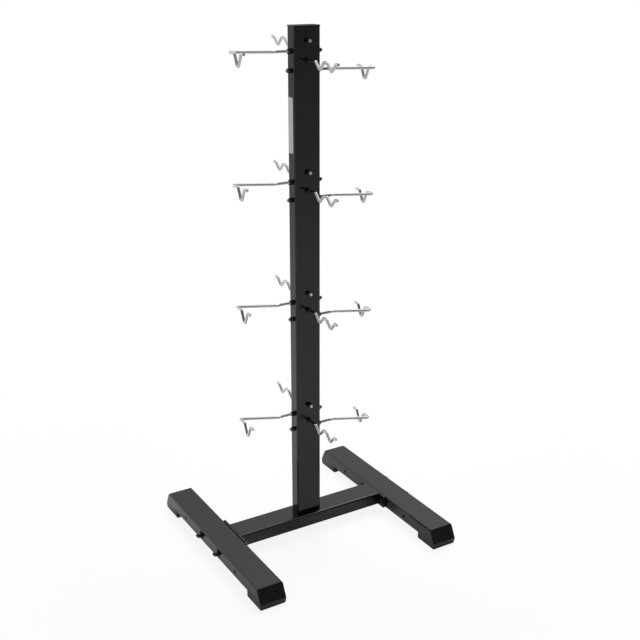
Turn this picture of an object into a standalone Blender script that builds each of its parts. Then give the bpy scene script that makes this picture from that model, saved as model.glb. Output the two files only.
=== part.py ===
"""Cable attachment rack: an upright post on an H-shaped base, with tiers of bent wire hooks.

X runs along the crossbar, Y from the front to the back and Z up. The origin is on the floor,
under the middle of the post. All sizes are in metres.
"""

import math

import bmesh
import bpy
from mathutils import Matrix, Vector

# Gap between pieces that touch on the real rack
FIT = 0.0003

# Rectangular steel tube of the post, the crossbar and the rails
TUBE_WIDTH = 0.080
TUBE_DEPTH = 0.040
TUBE_WALL = 0.0025
TUBE_CORNER = 0.006

# Base: two rails, joined by the crossbar that carries the post
RAIL_SPACING = 0.582
BASE_LENGTH = 0.646
END_SLANT = math.radians(27.0)
POST_LENGTH = 1.437

# Spare holes through the sides of the rails
SPARE_HOLE_DIAMETER = 0.0085
SPARE_HOLE_SPACING = 0.338

# Feet, plugged into the slanted ends of the rails
FOOT_HEIGHT = 0.019
FOOT_LENGTH = 0.080
FOOT_TOE_TAPER = 0.004
FOOT_EDGE = 0.0015
FOOT_LIP = 0.003
END_PLATE = 0.003
PLUG_LENGTH = 0.018
PLUG_WALL = 0.002

# Cap of the post
CAP_THICKNESS = 0.003
CAP_RIM = 0.0015
CAP_EDGE = 0.001

# Plates welded to the ends of the crossbar, and the bolts through them and the rails
FLANGE_LENGTH = 0.139
FLANGE_THICKNESS = 0.006
FLANGE_CORNER = 0.005
BOLT_SPACING = 0.116
BOLT_DIAMETER = 0.010
BOLT_CLEARANCE = 0.0005
BOLT_ACROSS_FLATS = 0.016
BOLT_HEAD_HEIGHT = 0.0064
BOLT_NUT_HEIGHT = 0.008
BOLT_TIP = 0.0045
WASHER_DIAMETER = 0.020
WASHER_THICKNESS = 0.002

# Tiers of hooks: four rods each, crossing inside the post at different heights
TIER_COUNT = 4
TOP_ROD_DROP = 0.036
LOWEST_TIER_HEIGHT = 0.358
SIDE_ROD_DROP = 0.0265
SECOND_ROD_DROP = 0.050

# Bent wire of the hooks
WIRE_DIAMETER = 0.006
WIRE_INSIDE_BEND = 0.0025
ROD_CLEARANCE = 0.0005
ROD_TAIL = 0.015
ROD_NUT_ACROSS_FLATS = 0.013
ROD_NUT_HEIGHT = 0.0095
ROD_NUT_CLEARANCE = 0.0004

# Front and back hooks: two notches in line with the rod
DOUBLE_SHANK = 0.041
DOUBLE_NOTCH_WIDTH = 0.042
DOUBLE_NOTCH_DEPTH = 0.0215
DOUBLE_LAND = 0.017
DOUBLE_TIP = 0.0115

# Left and right hooks: a cranked arm, with one notch across its end
SINGLE_SHANK = 0.0545
CRANK_RUN = 0.1005
CRANK_OFFSET = 0.0495
SINGLE_RETURN = 0.031
SINGLE_NOTCH_WIDTH = 0.038
SINGLE_NOTCH_DEPTH = 0.039
SINGLE_TIP = 0.017

# Share of a hexagon's width that its chamfer takes off, and facets of the round forms
HEX_CHAMFER = 0.06
CORNER_STEPS = 3
BEND_STEPS = 3
WIRE_SIDES = 8
ROUND_SIDES = 12

# Heights that the pieces share
RAIL_BOTTOM = FOOT_HEIGHT + FIT
RAIL_TOP = RAIL_BOTTOM + TUBE_DEPTH
POST_BOTTOM = RAIL_TOP + FIT
POST_TOP = POST_BOTTOM + POST_LENGTH
BOLT_HEIGHT = RAIL_BOTTOM + TUBE_DEPTH / 2

# Places along X, seen from the middle of the post
RAIL_INNER = (RAIL_SPACING - TUBE_WIDTH) / 2
RAIL_OUTER = (RAIL_SPACING + TUBE_WIDTH) / 2
FLANGE_OUTER = RAIL_INNER - FIT
FLANGE_INNER = FLANGE_OUTER - FLANGE_THICKNESS
CROSSBAR_END = FLANGE_INNER - FIT
WASHER_OUTER = RAIL_OUTER + FIT + WASHER_THICKNESS
BOLT_NUT_INNER = WASHER_OUTER + FIT

WIRE_RADIUS = WIRE_DIAMETER / 2
QUARTER_TURN = math.pi / 2
SIDES = (("left", math.pi), ("right", 0.0))
ENDS = (("front", -1), ("back", 1))
SMOOTH_ANGLE = math.radians(50.0)
CUTTER_MARGIN = 0.010

BLACK_PAINT = ((0.012, 0.012, 0.013, 1.0), 0.0, 0.28)
BLACK_PLASTIC = ((0.016, 0.016, 0.017, 1.0), 0.0, 0.45)
BLACK_STEEL = ((0.014, 0.014, 0.015, 1.0), 0.4, 0.38)
CHROME = ((0.68, 0.68, 0.67, 1.0), 1.0, 0.16)


def clear_scene():
    for obj in list(bpy.data.objects):
        bpy.data.objects.remove(obj, do_unlink=True)


def finish(name, look):
    """A material of the piece's own, with the colour, metallic value and roughness given."""
    colour, metallic, roughness = look
    material = bpy.data.materials.new(name)
    material.use_nodes = True
    shader = material.node_tree.nodes["Principled BSDF"]
    shader.inputs["Base Color"].default_value = colour
    shader.inputs["Metallic"].default_value = metallic
    shader.inputs["Roughness"].default_value = roughness
    material.diffuse_color = colour
    return material


def mesh_of(name, shape):
    """Turns a bmesh into a mesh whose faces point out, smooth on its round sides."""
    bmesh.ops.recalc_face_normals(shape, faces=shape.faces)
    mesh = bpy.data.meshes.new(name)
    shape.to_mesh(mesh)
    shape.free()
    mesh.shade_smooth()
    mesh.set_sharp_from_angle(angle=SMOOTH_ANGLE)
    return mesh


def add_object(name, mesh, look=None):
    obj = bpy.data.objects.new(name, mesh)
    bpy.context.scene.collection.objects.link(obj)
    if look:
        obj.data.materials.clear()
        obj.data.materials.append(finish(name + "_finish", look))
    return obj


def add_helper(name, mesh):
    """A shape that a Boolean uses and a render leaves out."""
    helper = add_object(name, mesh)
    helper.hide_render = True
    helper.display_type = "WIRE"
    return helper


def even_shading(obj):
    """Shades the flats of a tube or a moulding flat, and the corners between them round."""
    modifier = obj.modifiers.new("Normals", "WEIGHTED_NORMAL")
    modifier.keep_sharp = True


def combine(obj, helper, operation):
    modifier = obj.modifiers.new(operation.title(), "BOOLEAN")
    modifier.operation = operation
    modifier.object = helper
    modifier.solver = "EXACT"
    return obj


def settle(obj):
    """Bakes an object's Booleans into a mesh for several pieces, and removes what made it."""
    bpy.context.view_layer.update()
    graph = bpy.context.evaluated_depsgraph_get()
    mesh = bpy.data.meshes.new_from_object(obj.evaluated_get(graph))
    for spent in [modifier.object for modifier in obj.modifiers] + [obj]:
        bpy.data.objects.remove(spent, do_unlink=True)
    return mesh


def lofted(loops, ring=False):
    """Joins loops of equally many points by bands of faces. A ring's last band meets its first."""
    shape = bmesh.new()
    rows = [[shape.verts.new(point) for point in loop] for loop in loops]
    count = len(rows[0])
    for first, second in zip(rows, rows[1:] + rows[:1] if ring else rows[1:]):
        for i in range(count):
            j = (i + 1) % count
            shape.faces.new((first[i], first[j], second[j], second[i]))
    if not ring:
        shape.faces.new(rows[0])
        shape.faces.new(rows[-1])
    return shape


def rounded_rectangle(width, height, radius):
    """Points (a, b) around a rectangle with round corners, centred on (0, 0)."""
    points = []
    for quarter, (a, b) in enumerate(((1, 1), (-1, 1), (-1, -1), (1, -1))):
        centre = Vector((a * (width / 2 - radius), b * (height / 2 - radius)))
        for step in range(CORNER_STEPS + 1):
            angle = (quarter + step / CORNER_STEPS) * QUARTER_TURN
            points.append(centre + radius * Vector((math.cos(angle), math.sin(angle))))
    return points


def tube_outlines():
    """The outer and inner outlines of the steel tube, its width along a and its depth along b."""
    outer = rounded_rectangle(TUBE_WIDTH, TUBE_DEPTH, TUBE_CORNER)
    return outer, bore_outline(0.0)


def bore_outline(clearance):
    """The outline of the tube's bore, or of what fits in it with a clearance all round."""
    inset = TUBE_WALL + clearance
    return rounded_rectangle(TUBE_WIDTH - 2 * inset, TUBE_DEPTH - 2 * inset, TUBE_CORNER - inset)


def circle(radius, sides=ROUND_SIDES):
    turns = [math.tau * i / sides for i in range(sides)]
    return [Vector((radius * math.cos(turn), radius * math.sin(turn))) for turn in turns]


def hexagon(across_flats):
    """A hexagon of ROUND_SIDES points: its corners and the middles of its flats."""
    points = []
    for i in range(ROUND_SIDES):
        radius = across_flats / 2 if i % 2 else across_flats / 2 / math.cos(math.pi / 6)
        turn = math.tau * i / ROUND_SIDES
        points.append(Vector((radius * math.cos(turn), radius * math.sin(turn))))
    return points


def along_x(outline, x):
    """Stands an outline across the X axis, as a loop at x."""
    return [Vector((x, a, b)) for a, b in outline]


def hole_cutter(name, holes):
    """Cylinders in one helper. Each hole is (centre, direction, diameter, length)."""
    shape = bmesh.new()
    for centre, direction, diameter, length in holes:
        turn = Vector((0, 0, 1)).rotation_difference(Vector(direction)).to_matrix().to_4x4()
        bmesh.ops.create_cone(
            shape,
            cap_ends=True,
            segments=ROUND_SIDES,
            radius1=diameter / 2,
            radius2=diameter / 2,
            depth=length,
            matrix=Matrix.Translation(centre) @ turn,
        )
    return add_helper(name, mesh_of(name, shape))


def ring_mesh(name, outline, bore, height):
    """A flat-ended ring along X from 0 to its height, such as a washer."""
    inner = circle(bore / 2)
    loops = [along_x(outline, 0), along_x(outline, height), along_x(inner, height), along_x(inner, 0)]
    return mesh_of(name, lofted(loops, ring=True))


def nut_mesh(name, across_flats, bore, height):
    """A hexagon nut along X from 0 to its height, with its outer face chamfered."""
    chamfer = HEX_CHAMFER * across_flats
    outer = hexagon(across_flats)
    inner = circle(bore / 2)
    loops = [
        along_x(outer, 0),
        along_x(outer, height - chamfer),
        along_x(hexagon(across_flats - 2 * chamfer), height),
        along_x(inner, height),
        along_x(inner, 0),
    ]
    return mesh_of(name, lofted(loops, ring=True))


def slanted_end(height):
    """How far the outer face of the base's end is from the middle, at a height over the feet."""
    return BASE_LENGTH / 2 - (height - FOOT_HEIGHT) * math.tan(END_SLANT)


def tier_heights():
    """The height of the first rod of each tier, evenly spaced down the post."""
    top = POST_TOP - TOP_ROD_DROP
    lowest = POST_BOTTOM + LOWEST_TIER_HEIGHT
    return [top + (lowest - top) * i / (TIER_COUNT - 1) for i in range(TIER_COUNT)]


def rods():
    """Each rod of each tier: its side, its tier, its height and the turn that points it outwards."""
    for tier, top in enumerate(tier_heights(), start=1):
        yield "back", tier, top, QUARTER_TURN
        yield "left", tier, top - SIDE_ROD_DROP, math.pi
        yield "front", tier, top - SECOND_ROD_DROP, -QUARTER_TURN
        yield "right", tier, top - SIDE_ROD_DROP - SECOND_ROD_DROP, 0.0


def post_half(side):
    """Half of what the post measures along a rod of that side."""
    return (TUBE_DEPTH if side in ("front", "back") else TUBE_WIDTH) / 2


def build_post():
    outer, inner = tube_outlines()
    ends = ((outer, POST_BOTTOM), (outer, POST_TOP), (inner, POST_TOP), (inner, POST_BOTTOM))
    loops = [[Vector((a, b, z)) for a, b in outline] for outline, z in ends]
    post = add_object("upright_post", mesh_of("upright_post", lofted(loops, ring=True)), BLACK_PAINT)
    diameter = WIRE_DIAMETER + 2 * ROD_CLEARANCE
    holes = [
        ((0, 0, height), (math.cos(turn), math.sin(turn), 0), diameter, 2 * (post_half(side) + CUTTER_MARGIN))
        for side, _, height, turn in rods()
    ]
    combine(post, hole_cutter("rod_holes", holes), "DIFFERENCE")
    even_shading(post)


def build_post_cap():
    """A plastic cap: a rimmed plate over the post's end, and a hollow plug inside it."""
    plug = bore_outline(FIT)
    hollow = bore_outline(FIT + PLUG_WALL)
    rim = 2 * CAP_RIM
    plate = rounded_rectangle(TUBE_WIDTH + rim, TUBE_DEPTH + rim, TUBE_CORNER + CAP_RIM)
    inset = rim - 2 * CAP_EDGE
    face = rounded_rectangle(TUBE_WIDTH + inset, TUBE_DEPTH + inset, TUBE_CORNER + CAP_RIM - CAP_EDGE)
    seat = POST_TOP + FIT
    levels = (
        (hollow, seat),
        (hollow, seat - PLUG_LENGTH),
        (plug, seat - PLUG_LENGTH),
        (plug, seat),
        (plate, seat),
        (plate, seat + CAP_THICKNESS - CAP_EDGE),
        (face, seat + CAP_THICKNESS),
    )
    shape = lofted([[Vector((a, b, z)) for a, b in outline] for outline, z in levels])
    even_shading(add_object("post_top_cap", mesh_of("post_top_cap", shape), BLACK_PLASTIC))


def build_crossbar():
    outer, inner = tube_outlines()
    ends = ((outer, -CROSSBAR_END), (outer, CROSSBAR_END), (inner, CROSSBAR_END), (inner, -CROSSBAR_END))
    mesh = mesh_of("crossbar", lofted([along_x(outline, x) for outline, x in ends], ring=True))
    crossbar = add_object("crossbar", mesh, BLACK_PAINT)
    crossbar.location.z = BOLT_HEIGHT
    even_shading(crossbar)


def build_rail(side, turn):
    """A rail along Y, its ends cut parallel to the slanted plates of the feet."""
    outer, inner = tube_outlines()
    set_back = (END_PLATE + FIT) / math.cos(END_SLANT)

    def end_loop(outline, end):
        return [
            Vector((a, end * (slanted_end(BOLT_HEIGHT + b) - set_back), b)) for a, b in outline
        ]

    loops = [end_loop(outer, -1), end_loop(outer, 1), end_loop(inner, 1), end_loop(inner, -1)]
    name = side + "_rail"
    rail = add_object(name, mesh_of(name, lofted(loops, ring=True)), BLACK_PAINT)
    rail.location = (RAIL_SPACING / 2 * math.cos(turn), 0, BOLT_HEIGHT)
    length = TUBE_WIDTH + 2 * CUTTER_MARGIN
    sizes = (
        (BOLT_SPACING, BOLT_DIAMETER + 2 * BOLT_CLEARANCE),
        (SPARE_HOLE_SPACING, SPARE_HOLE_DIAMETER),
    )
    holes = [
        ((0, end * spacing / 2, 0), (1, 0, 0), diameter, length)
        for spacing, diameter in sizes
        for _, end in ENDS
    ]
    cutter = hole_cutter(side + "_rail_holes", holes)
    cutter.parent = rail
    combine(rail, cutter, "DIFFERENCE")
    even_shading(rail)


def rail_room():
    """The outline (a, height) of the room for a rail in its foot, with its lower corners in lips."""
    radius = TUBE_CORNER + FIT
    across, height = TUBE_WIDTH / 2 - TUBE_CORNER, RAIL_BOTTOM + TUBE_CORNER
    top = math.asin((TUBE_CORNER - FOOT_LIP) / radius)
    turns = [top + (QUARTER_TURN - top) * step / CORNER_STEPS for step in range(CORNER_STEPS + 1)]
    reach, over = TUBE_WIDTH / 2 + CUTTER_MARGIN, RAIL_TOP + CUTTER_MARGIN
    half = [(reach, over), (reach, RAIL_BOTTOM + FOOT_LIP)]
    half += [(across + radius * math.cos(turn), height - radius * math.sin(turn)) for turn in turns]
    return half + [(-a, z) for a, z in reversed(half)]


def foot_mesh():
    """The foot of a back end, about X = 0: pad, slanted end plate and hollow plug in one moulding."""
    knuckle = BASE_LENGTH / 2
    heel = knuckle - FOOT_LENGTH
    over = RAIL_TOP + CUTTER_MARGIN
    plate = END_PLATE / math.cos(END_SLANT)
    profile = (
        (heel + FOOT_EDGE, 0),
        (knuckle - FOOT_TOE_TAPER, 0),
        (knuckle, FOOT_HEIGHT),
        (slanted_end(over), over),
        (heel, over),
        (heel, FOOT_EDGE),
    )
    reach = TUBE_WIDTH / 2 + CUTTER_MARGIN
    side_view = lofted([[Vector((x, y, z)) for y, z in profile] for x in (-reach, reach)])
    moulding = add_object("foot_moulding", mesh_of("foot_moulding", side_view))

    end_view = rounded_rectangle(TUBE_WIDTH, RAIL_TOP, TUBE_CORNER)
    section = [
        [Vector((a, y, b + RAIL_TOP / 2)) for a, b in end_view]
        for y in (heel - CUTTER_MARGIN, knuckle + CUTTER_MARGIN)
    ]
    trim = add_helper("foot_section", mesh_of("foot_section", lofted(section)))
    combine(moulding, trim, "INTERSECT")

    room = rail_room()
    rail_space = [
        [Vector((a, heel - CUTTER_MARGIN, z)) for a, z in room],
        [Vector((a, slanted_end(z) - plate, z)) for a, z in room],
    ]
    cutter = add_helper("foot_room", mesh_of("foot_room", lofted(rail_space)))
    combine(moulding, cutter, "DIFFERENCE")

    def plug_loop(outline, reach_in):
        return [
            Vector((a, slanted_end(BOLT_HEIGHT + b) - reach_in, BOLT_HEIGHT + b)) for a, b in outline
        ]

    plug, hollow = bore_outline(FIT), bore_outline(FIT + PLUG_WALL)
    root = plate / 2
    loops = [
        plug_loop(plug, root),
        plug_loop(plug, plate + PLUG_LENGTH),
        plug_loop(hollow, plate + PLUG_LENGTH),
        plug_loop(hollow, root),
    ]
    insert = add_helper("foot_plug", mesh_of("foot_plug", lofted(loops, ring=True)))
    combine(moulding, insert, "UNION")
    return settle(moulding)


def build_feet():
    shared = foot_mesh()
    for side, side_turn in SIDES:
        for end, direction in ENDS:
            foot = add_object(f"{end}_{side}_foot", shared.copy(), BLACK_PLASTIC)
            foot.location.x = RAIL_SPACING / 2 * math.cos(side_turn)
            foot.rotation_euler.z = 0.0 if direction > 0 else math.pi
            even_shading(foot)


def flange_mesh():
    """The right flange plate at its own place along X, with its two bolt holes."""
    outline = rounded_rectangle(FLANGE_LENGTH, TUBE_DEPTH, FLANGE_CORNER)
    plate = add_object(
        "flange_plate",
        mesh_of("flange_plate", lofted([along_x(outline, x) for x in (FLANGE_INNER, FLANGE_OUTER)])),
    )
    middle = (FLANGE_INNER + FLANGE_OUTER) / 2
    diameter = BOLT_DIAMETER + 2 * BOLT_CLEARANCE
    length = FLANGE_THICKNESS + 2 * CUTTER_MARGIN
    holes = [((middle, end * BOLT_SPACING / 2, 0), (1, 0, 0), diameter, length) for _, end in ENDS]
    combine(plate, hole_cutter("flange_holes", holes), "DIFFERENCE")
    return settle(plate)


def bolt_mesh():
    """A hexagon bolt through a flange and its rail, from the head to the chamfered end."""
    seat = FLANGE_INNER - FIT
    chamfer = HEX_CHAMFER * BOLT_ACROSS_FLATS
    end = BOLT_NUT_INNER + BOLT_NUT_HEIGHT + BOLT_TIP
    shank = circle(BOLT_DIAMETER / 2)
    loops = [
        along_x(hexagon(BOLT_ACROSS_FLATS - 2 * chamfer), seat - BOLT_HEAD_HEIGHT),
        along_x(hexagon(BOLT_ACROSS_FLATS), seat - BOLT_HEAD_HEIGHT + chamfer),
        along_x(hexagon(BOLT_ACROSS_FLATS), seat),
        along_x(shank, seat),
        along_x(shank, end - chamfer),
        along_x(circle(BOLT_DIAMETER / 2 - chamfer), end),
    ]
    return mesh_of("bolt", lofted(loops))


def build_joints_of_base():
    """The flange plates, and a bolt, a washer and a nut at each of their four holes."""
    flange, bolt = flange_mesh(), bolt_mesh()
    bore = BOLT_DIAMETER + 2 * BOLT_CLEARANCE
    washer = ring_mesh("washer", circle(WASHER_DIAMETER / 2), bore, WASHER_THICKNESS)
    nut = nut_mesh("nut", BOLT_ACROSS_FLATS, bore, BOLT_NUT_HEIGHT)
    for side, turn in SIDES:
        plate = add_object(side + "_flange", flange.copy(), BLACK_PAINT)
        plate.location.z = BOLT_HEIGHT
        plate.rotation_euler.z = turn
        even_shading(plate)
        for end, direction in ENDS:
            pieces = (
                ("bolt", bolt, 0.0, BLACK_STEEL),
                ("washer", washer, RAIL_OUTER + FIT, BLACK_STEEL),
                ("nut", nut, BOLT_NUT_INNER, BLACK_STEEL),
            )
            for kind, mesh, x, look in pieces:
                piece = add_object(f"{end}_{side}_{kind}", mesh.copy(), look)
                y = direction * BOLT_SPACING / 2
                piece.location = (x * math.cos(turn), y, BOLT_HEIGHT)
                piece.rotation_euler.z = turn


def rounded_path(corners):
    """Follows straight runs through the corners, each turned into an arc of the wire's bend."""
    radius = WIRE_INSIDE_BEND + WIRE_RADIUS
    path = [corners[0]]
    for before, corner, after in zip(corners, corners[1:], corners[2:]):
        back = (before - corner).normalized()
        ahead = (after - corner).normalized()
        half = back.angle(ahead) / 2
        centre = corner + (back + ahead).normalized() * radius / math.sin(half)
        start = corner + back * radius / math.tan(half) - centre
        axis = back.cross(start)
        sweep = math.pi - 2 * half
        for step in range(BEND_STEPS + 1):
            path.append(centre + Matrix.Rotation(sweep * step / BEND_STEPS, 3, axis) @ start)
    return path + [corners[-1]]


def swept_wire(path):
    """A round wire along a path, its section carried from point to point without a twist."""
    across = Vector((0, 1, 0))
    loops = []
    for i, point in enumerate(path):
        before, after = path[max(i - 1, 0)], path[min(i + 1, len(path) - 1)]
        into = (point - before).normalized() if i else (after - point).normalized()
        out_of = (after - point).normalized() if after != point else into
        along = (into + out_of).normalized()
        across = (across - along * across.dot(along)).normalized()
        up = along.cross(across)
        loops.append([point + a * across + b * up for a, b in circle(WIRE_RADIUS, WIRE_SIDES)])
    return lofted(loops)


def double_hook_corners():
    """From the rod's tail, two notches in line with it, a land between them and a tip."""
    face = post_half("front")
    half = DOUBLE_NOTCH_WIDTH / 2
    distances = [face + DOUBLE_SHANK]
    for run in (half, half, DOUBLE_LAND, half, half, DOUBLE_TIP):
        distances.append(distances[-1] + run)
    drops = (0, DOUBLE_NOTCH_DEPTH, 0, 0, DOUBLE_NOTCH_DEPTH, 0, 0)
    corners = [Vector((-face - ROD_TAIL, 0, 0))]
    return corners + [Vector((x, 0, -drop)) for x, drop in zip(distances, drops)]


def single_hook_corners():
    """From the rod's tail, a cranked arm, then a notch across its end and a tip."""
    face = post_half("right")
    half = SINGLE_NOTCH_WIDTH / 2
    crank = face + SINGLE_SHANK
    end = crank + CRANK_RUN
    offsets = [-CRANK_OFFSET]
    for run in (SINGLE_RETURN, half, half, SINGLE_TIP):
        offsets.append(offsets[-1] + run)
    drops = (0, 0, SINGLE_NOTCH_DEPTH, 0, 0)
    corners = [Vector((-face - ROD_TAIL, 0, 0)), Vector((crank, 0, 0))]
    return corners + [Vector((end, y, -drop)) for y, drop in zip(offsets, drops)]


def hook_mesh(name, corners, face):
    """The bent wire, with its inner nut tightened against the post as part of the same solid."""
    wire = add_object(name, mesh_of(name, swept_wire(rounded_path(corners))))
    chamfer = HEX_CHAMFER * ROD_NUT_ACROSS_FLATS
    seat = face + FIT
    loops = [
        along_x(hexagon(ROD_NUT_ACROSS_FLATS), seat),
        along_x(hexagon(ROD_NUT_ACROSS_FLATS), seat + ROD_NUT_HEIGHT - chamfer),
        along_x(hexagon(ROD_NUT_ACROSS_FLATS - 2 * chamfer), seat + ROD_NUT_HEIGHT),
    ]
    nut = add_helper(name + "_inner_nut", mesh_of(name + "_inner_nut", lofted(loops)))
    combine(wire, nut, "UNION")
    return settle(wire)


def build_hooks():
    double = hook_mesh("double_hook", double_hook_corners(), post_half("front"))
    single = hook_mesh("single_hook", single_hook_corners(), post_half("right"))
    bore = WIRE_DIAMETER + 2 * ROD_NUT_CLEARANCE
    nut = nut_mesh("rod_nut", ROD_NUT_ACROSS_FLATS, bore, ROD_NUT_HEIGHT)
    for side, tier, height, turn in rods():
        mesh = double if side in ("front", "back") else single
        hook = add_object(f"{side}_hook_{tier}", mesh.copy(), CHROME)
        hook.location.z = height
        hook.rotation_euler.z = turn
        far = add_object(f"{side}_hook_nut_{tier}", nut.copy(), BLACK_STEEL)
        away = post_half(side) + FIT
        far.location = (-away * math.cos(turn), -away * math.sin(turn), height)
        far.rotation_euler.z = turn + math.pi


def main():
    clear_scene()
    build_post()
    build_post_cap()
    build_crossbar()
    for side, turn in SIDES:
        build_rail(side, turn)
    build_feet()
    build_joints_of_base()
    build_hooks()


if __name__ == "__main__":
    main()
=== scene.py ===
"""The look of a cable attachment rack: powder-coated tube, chromed wire hooks and a pale studio."""

import logging
import math
from collections.abc import Callable, Iterable, Sequence
from dataclasses import dataclass
from enum import Enum

import bmesh
import bpy
from mathutils import Matrix, Vector


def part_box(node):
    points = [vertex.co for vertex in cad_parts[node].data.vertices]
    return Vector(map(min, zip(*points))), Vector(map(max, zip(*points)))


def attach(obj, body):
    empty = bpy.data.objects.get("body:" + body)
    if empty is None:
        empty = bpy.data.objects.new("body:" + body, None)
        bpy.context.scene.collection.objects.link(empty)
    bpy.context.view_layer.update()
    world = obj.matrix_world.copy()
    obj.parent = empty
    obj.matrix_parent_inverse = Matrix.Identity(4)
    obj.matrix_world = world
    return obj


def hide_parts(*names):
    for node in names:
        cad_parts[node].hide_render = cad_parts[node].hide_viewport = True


LOG = logging.getLogger("rack")

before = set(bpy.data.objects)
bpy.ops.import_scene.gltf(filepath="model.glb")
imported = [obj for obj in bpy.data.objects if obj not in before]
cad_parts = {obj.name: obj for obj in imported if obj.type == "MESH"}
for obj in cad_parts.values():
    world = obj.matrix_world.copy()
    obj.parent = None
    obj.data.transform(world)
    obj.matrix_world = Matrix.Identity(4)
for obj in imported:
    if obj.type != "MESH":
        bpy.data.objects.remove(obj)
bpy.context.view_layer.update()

MM = 0.001
# The gap that the CAD leaves between pieces that touch.
FIT = 0.3 * MM
# Edges bent by more than this many degrees stay sharp.
SHARP = 35.0
NOISE_MEAN = 0.5
QUARTER_TURN = math.pi / 2
SIXTH_TURN = math.pi / 3

Colour = tuple[float, float, float, float]
Outline = list[tuple[float, float]]
Loop = list[Vector]
Hole = tuple[Vector, Vector, float]
Lay = Callable[[Outline, float], Loop]
Operator = Callable[["Signal", "Signal | float"], "Signal"]


class Side(Enum):
    """A side of the post, with the turn that points a hook outwards from it."""

    FRONT = ("front", -QUARTER_TURN)
    BACK = ("back", QUARTER_TURN)
    LEFT = ("left", math.pi)
    RIGHT = ("right", 0.0)

    @property
    def word(self) -> str:
        """The side's name in the pieces' names."""
        return self.value[0]

    @property
    def turn(self) -> float:
        """The turn about Z from the right side to this one."""
        return self.value[1]

    @property
    def out(self) -> Vector:
        """The direction away from the post."""
        return Vector((math.cos(self.turn), math.sin(self.turn), 0.0))

    @property
    def is_across(self) -> bool:
        """Whether this side's rods run along the crossbar."""
        return self in (Side.LEFT, Side.RIGHT)


class Join(Enum):
    """How one mesh changes another."""

    ADD = "UNION"
    CUT = "DIFFERENCE"


@dataclass(frozen=True)
class Extent:
    """The box of a CAD node."""

    low: Vector
    high: Vector

    @classmethod
    def of(cls, node: str) -> "Extent":
        """The box of the node of that name."""
        low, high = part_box(node)
        return cls(Vector(low), Vector(high))

    @property
    def middle(self) -> Vector:
        """The box's centre."""
        return (self.low + self.high) / 2

    @property
    def size(self) -> Vector:
        """The box's lengths along X, Y and Z."""
        return self.high - self.low


# Shader maths


def math_node(operation: str, reflected: bool = False) -> Operator:
    """Makes a method of Signal that adds a Math node.

    Args:
        operation: The node's operation on the signal and another value.
        reflected: Whether the other value comes first.

    Returns:
        The method.
    """

    def method(signal: "Signal", other: "Signal | float") -> "Signal":
        """Adds the node and gives its value."""
        values = {int(reflected): signal, int(not reflected): other}
        return signal.board.node("ShaderNodeMath", {"operation": operation}, values)

    return method


@dataclass(frozen=True)
class Signal:
    """What a node gives to others, with the sums that the finishes need."""

    board: "Board"
    socket: bpy.types.NodeSocket | None

    __add__, __radd__ = math_node("ADD"), math_node("ADD", True)
    __sub__, __rsub__ = math_node("SUBTRACT"), math_node("SUBTRACT", True)
    __mul__, __rmul__ = math_node("MULTIPLY"), math_node("MULTIPLY", True)
    __truediv__, __rtruediv__ = math_node("DIVIDE"), math_node("DIVIDE", True)
    __pow__, __rpow__ = math_node("POWER"), math_node("POWER", True)
    at_least, at_most = math_node("MAXIMUM"), math_node("MINIMUM")

    def rise(self, low: float, high: float) -> "Signal":
        """A smooth step from 0 at the low value to 1 at the high one."""
        values = {"Value": self, "From Min": low, "From Max": high}
        return self.board.node("ShaderNodeMapRange", {"interpolation_type": "SMOOTHSTEP"}, values)


class Board:
    """The nodes of a material or of the world."""

    def __init__(self, owner: bpy.types.Material | bpy.types.World) -> None:
        """Clears the nodes.

        Args:
            owner: The material or the world.
        """
        owner.use_nodes = True
        self.tree = owner.node_tree
        self.tree.nodes.clear()

    def node(
        self,
        kind: str,
        settings: dict[str, object] | None = None,
        values: dict[str | int, object] | None = None,
        output: str | None = None,
    ) -> Signal:
        """Adds a node.

        Args:
            kind: The node's type.
            settings: Its settings, which are set first.
            values: The values of its sockets, or the signals that feed them, by name or place.
            output: The name of the output to give. Otherwise it is the first one in use.

        Returns:
            The signal of that output.
        """
        node = self.tree.nodes.new(kind)
        for name, setting in (settings or {}).items():
            setattr(node, name, setting)
        for name, value in (values or {}).items():
            socket = node.inputs[name] if isinstance(name, int) else self.in_use(node.inputs, name)
            if isinstance(value, Signal):
                self.tree.links.new(value.socket, socket)
            else:
                socket.default_value = value
        return Signal(self, self.in_use(node.outputs, output))

    @staticmethod
    def in_use(
        sockets: Iterable[bpy.types.NodeSocket], name: str | None
    ) -> bpy.types.NodeSocket | None:
        """The first socket in use, of that name if there is one."""
        return next((s for s in sockets if s.enabled and name in (None, s.name)), None)

    def place(self) -> Signal:
        """Where a point is in its own piece, in metres."""
        return self.node("ShaderNodeTexCoord", output="Object")

    def vector(self, operation: str, *values: Signal | Sequence[float]) -> Signal:
        """Adds a Vector Math node that works on the values."""
        return self.node("ShaderNodeVectorMath", {"operation": operation}, dict(enumerate(values)))

    def blend(self, share: Signal, first: Colour | Signal, second: Colour | Signal) -> Signal:
        """A mix of two colours by a share of the second."""
        values = {"Factor": share, "A": first, "B": second}
        return self.node("ShaderNodeMix", {"data_type": "RGBA"}, values)

    def relief(self, height: Signal, depth: float) -> Signal:
        """A normal bent by a height of at most that depth."""
        return self.node("ShaderNodeBump", {}, {"Height": height, "Distance": depth})


def grey(level: float) -> Colour:
    """A neutral colour."""
    return (level, level, level, 1.0)


# Finishes


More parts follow.
